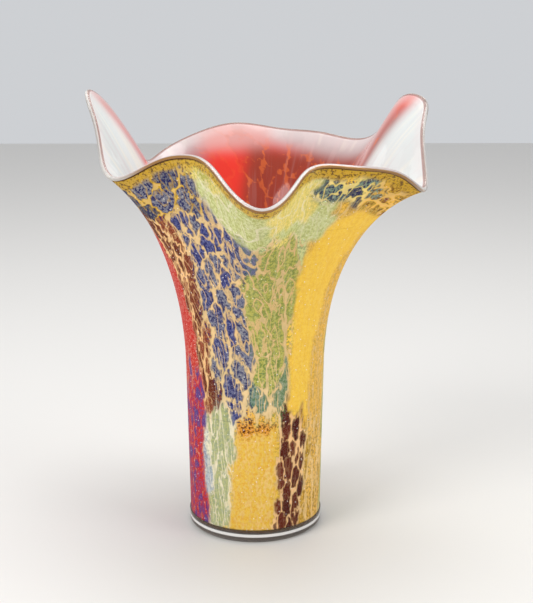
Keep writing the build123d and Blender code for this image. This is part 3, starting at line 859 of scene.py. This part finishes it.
def ruby_glass():
    """Red lining, opaque, with the light through the wall painted into its colour: the net glows through the
    dark places as painted light, and it pales towards the ears, partly with a painted reflection.
    """
    n = Nodes("ruby_glass")
    on_wall = n.attribute("flow", "Vector")
    here = n.add("ShaderNodeTexCoord").outputs["Object"]
    base = n.attribute("lining", "Color")
    split = n.add("ShaderNodeSeparateColor", Color=base)
    redness = n.math("SUBTRACT", split.outputs[0], split.outputs[1])
    darkness = n.step(split.outputs[0], 0.66, 0.36)

    # Orange net behind the dark red, a painted glow of light shining through the wall: faint in the bright
    # red, gone where the lining is pale
    edge = n.math("ADD", n.attribute("net"), n.ragged(here, 260, 3, 2.0))
    line = n.math("MULTIPLY", n.step(edge, 0.1, 1.0, 1.0, 0.0), n.step(darkness, 0.0, 1.0, 0.1, 0.5))
    cell = n.mix(n.math("MULTIPLY", n.attribute("tone"), 0.4), base, n.scale(base, 0.7))
    colour = n.mix(n.math("MULTIPLY", line, n.step(redness, 0.15, 0.3)), cell, (0.74, 0.16, 0.03))

    # Soft streaks drawn towards the rim, stronger where it is pale
    streaks = n.noise(n.stretch(on_wall, 3.5, 1.2), 2.5, 3, 0.5)
    paleness = n.step(redness, 0.4, 0.1)
    veins = n.math("MULTIPLY", n.step(streaks, 0.5, 0.66), n.step(redness, 0.13, 0.06))
    colour = n.mix(n.math("MULTIPLY", veins, 0.35), colour, (0.86, 0.8, 0.64))
    flush = n.math("MULTIPLY", n.step(streaks, 0.47, 0.34), paleness)
    colour = n.mix(n.math("MULTIPLY", flush, 0.2), colour, (0.6, 0.42, 0.4))
    below = n.attribute("below_rim")
    colour = n.mix(n.step(below, 14.0, 2.0, 0.0, 0.35), colour, (0.72, 0.64, 0.62))
    colour = n.mix(n.step(below, 0.7, 1.5, 0.7, 0.0), colour, (0.3, 0.12, 0.1))
    shader = n.add("ShaderNodeBsdfPrincipled", Base_Color=colour, Roughness=0.08)
    n.join(0.28, shader.inputs["Specular IOR Level"])
    return n.finish(shader.outputs[0])


def clear_film(name, tint, strength):
    """Clear glass seen as its surface: see-through, with soft reflections that don't veil its edges."""
    n = Nodes(name)
    gloss = n.add("ShaderNodeBsdfGlossy", Color=(1, 1, 1), Roughness=0.04)
    through = n.add("ShaderNodeBsdfTransparent", Color=tint)
    fresnel = n.add("ShaderNodeFresnel", IOR=1.5).outputs[0]
    from_outside = n.math("SUBTRACT", 1.0, n.add("ShaderNodeNewGeometry").outputs["Backfacing"])
    fresnel = n.math("MINIMUM", fresnel, 0.4)
    shine = n.math("MULTIPLY", n.math("MULTIPLY", fresnel, from_outside), strength, clamp=True)
    blend = n.add("ShaderNodeMixShader", Fac=shine)
    n.tree.links.new(through.outputs[0], blend.inputs[1])
    n.tree.links.new(gloss.outputs[0], blend.inputs[2])
    return n.finish(blend.outputs[0])


def let_lamps_through(n, shader, tint):
    """Shadow rays pass straight through, so that thick clear glass casts no black shadow."""
    through = n.add("ShaderNodeBsdfTransparent", Color=tint)
    blend = n.add("ShaderNodeMixShader", Fac=n.add("ShaderNodeLightPath").outputs["Is Shadow Ray"])
    n.tree.links.new(shader.outputs[0], blend.inputs[1])
    n.tree.links.new(through.outputs[0], blend.inputs[2])
    return n.finish(blend.outputs[0])


def lip_glass():
    """Fire-polished clear bead: a pale line of painted highlight on its crown, with the colours pulled into
    it at both sides.
    """
    n = Nodes("lip_glass")
    turn = n.attribute("turn")
    outer, inner = n.step(turn, 0.3, 0.42, 1.0, 0.0), n.step(turn, 0.66, 0.8)
    # The pale colour on the crown, between the two sides, is a painted highlight
    colour = n.mix(outer, (0.97, 0.95, 0.92), n.attribute("edge", "Color"))
    colour = n.mix(inner, colour, (0.6, 0.42, 0.38))
    shader = n.add("ShaderNodeBsdfPrincipled", Base_Color=colour, Roughness=0.03, IOR=1.5)
    solid = n.math("MAXIMUM", n.math("MULTIPLY", outer, 0.8), 0.35)
    n.join(n.math("SUBTRACT", 1.0, solid), shader.inputs["Transmission Weight"])
    return let_lamps_through(n, shader, (0.95, 0.94, 0.92))


def foot_glass():
    """Clear ground foot: a bright band of painted highlight, a painted dark tint below it, dark where the
    colour ends.
    """
    n = Nodes("foot_glass")
    here = n.add("ShaderNodeTexCoord").outputs["Object"]
    height = n.math("MULTIPLY", n.add("ShaderNodeSeparateXYZ", Vector=here).outputs[2], 1000.0)
    frayed = n.math("ADD", height, n.ragged(here, 160, 3, 3.5))
    # The bright band is a painted highlight, the line of light the foot would catch
    bright = n.math("MULTIPLY", n.step(height, 4.6, 5.6), n.step(height, 8.4, 7.4))
    dark = n.step(frayed, 8.6, 9.8)
    # The dark tint is painted darkness, and the pale one over it is the painted highlight
    colour = n.mix(bright, (0.26, 0.21, 0.18), (0.95, 0.93, 0.9))
    colour = n.mix(dark, colour, (0.07, 0.04, 0.02))
    solid = n.math("MAXIMUM", n.math("MULTIPLY", bright, 0.8), n.math("MAXIMUM", dark, 0.25))
    shader = n.add("ShaderNodeBsdfPrincipled", Base_Color=colour, Roughness=0.04, IOR=1.5)
    n.join(n.math("SUBTRACT", 1.0, solid), shader.inputs["Transmission Weight"])
    return let_lamps_through(n, shader, (0.9, 0.88, 0.86))


# ---------------------------------------------------------------- the pieces
ROUND = 540  # columns of a mesh that goes all the way round
WALL_ROWS = 160
CUP_ROWS = 150
FLOOR_HOOPS = 12
BEND_STEP = 7.5  # degrees between the hoops of the rounding
LINING = WALL_BODY * (1 - CORE_END)
BOWL = 0.015  # rounding between the wall and the floor inside
PINHOLE = 0.002  # radius that the cup's floor leaves open in its middle
azimuth_ring = np.arange(ROUND) * 360 / ROUND


def build_fields():
    """The colour fields; those of one glass share a material."""
    colours = {slot_name: colour_glass(slot_name) for slot_name in sorted({field[1] for field in FIELDS})}
    for name, slot_name, left, right, low, high in FIELDS:
        azimuth, share = field_grid(left, right, low, high)
        outer, inner = layer(azimuth, share, CASING_END), layer(azimuth, share, FIELD_END)
        place(slab(name, azimuth, share, outer, inner, False), name, colours[slot_name])


def build_gather(name, outside, inside_depth, material):
    """A gather that goes all the way round the wall, between two depths."""
    share = np.linspace(LOWEST, 1, WALL_ROWS)[:, None]
    azimuth, share = np.broadcast_arrays(azimuth_ring, share)
    outer, inner = layer(azimuth, share, outside), layer(azimuth, share, inside_depth)
    place(slab(name, azimuth, share, outer, inner, True), name, material)


def cup_grid(depth, floor, rounding):
    """Points and shares of a cup-shaped skin at one depth, from near its middle out and up to the rim."""
    start = STRAIGHT * (floor + rounding) / SHOULDER_HEIGHT
    reach = layer(0.0, start, depth)[0]
    turn = np.radians(azimuth_ring)
    flat = [(radius, floor, LOWEST) for radius in np.linspace(PINHOLE, reach - rounding, FLOOR_HOOPS)[:-1]]
    bent = []
    for bend in np.radians(np.arange(0, 90, BEND_STEP)):
        radius = reach - rounding + rounding * math.sin(bend)
        height = floor + rounding - rounding * math.cos(bend)
        bent.append((radius, height, STRAIGHT * height / SHOULDER_HEIGHT))
    hoops, shares = [], []
    for radius, height, share in flat + bent:
        hoops.append(np.stack([radius * np.cos(turn), radius * np.sin(turn), np.full(ROUND, height)], -1))
        shares.append(np.full(ROUND, share))
    for share in np.linspace(start, 1, CUP_ROWS):
        hoops.append(layer(azimuth_ring, share, depth))
        shares.append(np.full(ROUND, share))
    return np.array(hoops), np.array(shares)


def build_lining():
    """The ruby bubble, a cup inside the wall."""
    outer, share = cup_grid(CORE_END, FLOOR_HEIGHT, BOWL)
    inner, share = cup_grid(1.0, FLOOR_HEIGHT + LINING, BOWL - LINING)
    cup = slab("ruby_lining", np.broadcast_to(azimuth_ring, share.shape), share, inner, outer, True)
    place(cup, "ruby_lining", ruby_glass())


# The colour pulled into the bead's outer side, and the paler one at the two ears
EDGE_COLOUR, EAR_EDGE = np.array((0.3, 0.14, 0.03)), np.array((0.5, 0.48, 0.45))
EARS = [(-24, 30), (146, 204)]  # from one azimuth to another
BEAD_TURNS = np.linspace(0, 1, 13)  # 0 at the outside of the wall, 1 at the inside


def build_lip():
    """Rounded lip: a half-round bead from the outer to the inner edge of the wall."""
    outer_edge, inner_edge = layer(azimuth_ring, 1.0, 0.0), layer(azimuth_ring, 1.0, 1.0)
    rising = unit(skin(azimuth_ring, 1.0) - skin(azimuth_ring, 0.996))
    middle, half = (outer_edge + inner_edge) / 2, (outer_edge - inner_edge) / 2
    lift = rising * np.linalg.norm(half, axis=-1, keepdims=True)
    bead = [middle + half * math.cos(t) + lift * math.sin(t) for t in BEAD_TURNS * math.pi]
    flat = [middle + half * k for k in (-0.5, 0, 0.5)]
    hoops = np.array(bead + flat)
    index = np.arange(len(hoops) * ROUND).reshape(len(hoops), ROUND)
    above, along = np.roll(index, -1, 0), np.roll(index, -1, 1)
    quads = np.stack([index, along, np.roll(above, -1, 1), above], -1).reshape(-1, 4)
    lip = piece("clear_lip", hoops.reshape(-1, 3), quads)

    carry(lip.data, "turn", np.repeat(np.concatenate([BEAD_TURNS, (0.9, 0.5, 0.1)]), ROUND))
    ear = np.zeros((ROUND, 1))
    for start, end in EARS:
        ear[(azimuth_ring - start) % 360 < end - start] = 1
    ear = softened(ear, 8, 1)
    edge = EDGE_COLOUR * (1 - ear) + EAR_EDGE * ear
    carry(lip.data, "edge", np.tile(np.concatenate([edge, np.ones((ROUND, 1))], 1), (len(hoops), 1)))
    place(lip, "clear_lip", lip_glass())


def dress(node, material):
    """Give a CAD node that is seen as it is a look of its own."""
    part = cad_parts[node]
    part.data.materials.clear()
    part.data.materials.append(material)


build_fields()
build_gather("clear_casing", 0, CASING_END, clear_film("casing_glass", (1, 1, 1), 0.22))
build_gather("amber_ground", FIELD_END, GROUND_END, colour_glass("amber_glass"))
build_lining()
build_lip()
dress("foot_pad", foot_glass())
dress("crystal_core", clear_film("crystal_glass", (0.98, 0.98, 0.98), 0.3))

# ---------------------------------------------------------------- stage, light and camera
floor_mesh = bpy.data.meshes.new("floor")
floor_mesh.from_pydata([(-3, -2, 0), (3, -2, 0), (3, 3, 0), (-3, 3, 0)], [], [(0, 1, 2, 3)])
floor = bpy.data.objects.new("floor", floor_mesh)
bpy.context.scene.collection.objects.link(floor)
floor_look = Nodes("floor")
floor_shader = floor_look.add("ShaderNodeBsdfPrincipled", Base_Color=(0.72, 0.7, 0.67), Roughness=0.55)
floor_mesh.materials.append(floor_look.finish(floor_shader.outputs[0]))

world = bpy.data.worlds.new("studio")
world.use_nodes = True
world.node_tree.nodes["Background"].inputs["Color"].default_value = (0.82, 0.84, 0.87, 1)
world.node_tree.nodes["Background"].inputs["Strength"].default_value = 0.75
bpy.context.scene.world = world


def softbox(name, where, target, width, height, power):
    """A rectangular studio light aimed at a point."""
    lamp = bpy.data.lights.new(name, "AREA")
    lamp.shape = "RECTANGLE"
    lamp.size, lamp.size_y, lamp.energy = width, height, power
    obj = bpy.data.objects.new(name, lamp)
    obj.location = where
    obj.rotation_euler = (Vector(target) - Vector(where)).to_track_quat("-Z", "Y").to_euler()
    bpy.context.scene.collection.objects.link(obj)


CENTRE = (0, 0, 0.2)
softbox("key", (-1.3, -1.2, 1.5), CENTRE, 0.9, 1.2, 24)
softbox("fill", (1.6, -0.9, 1.0), CENTRE, 0.8, 1.2, 10)
softbox("top", (0.1, 0.3, 1.9), CENTRE, 1.2, 0.9, 16)

CAMERA_PLACE = (0, -0.98, 0.43)
LOOKING_DOWN, TURNED_RIGHT = 13.63, 0.57  # degrees
camera_data = bpy.data.cameras.new("camera")
camera_data.lens = 72.06
camera_data.sensor_width = 36
camera = bpy.data.objects.new("camera", camera_data)
camera.location = CAMERA_PLACE
camera.rotation_euler = (math.radians(90 - LOOKING_DOWN), 0, -math.radians(TURNED_RIGHT))
bpy.context.scene.collection.objects.link(camera)
bpy.context.scene.camera = camera
bpy.context.scene.view_settings.view_transform = "Standard"
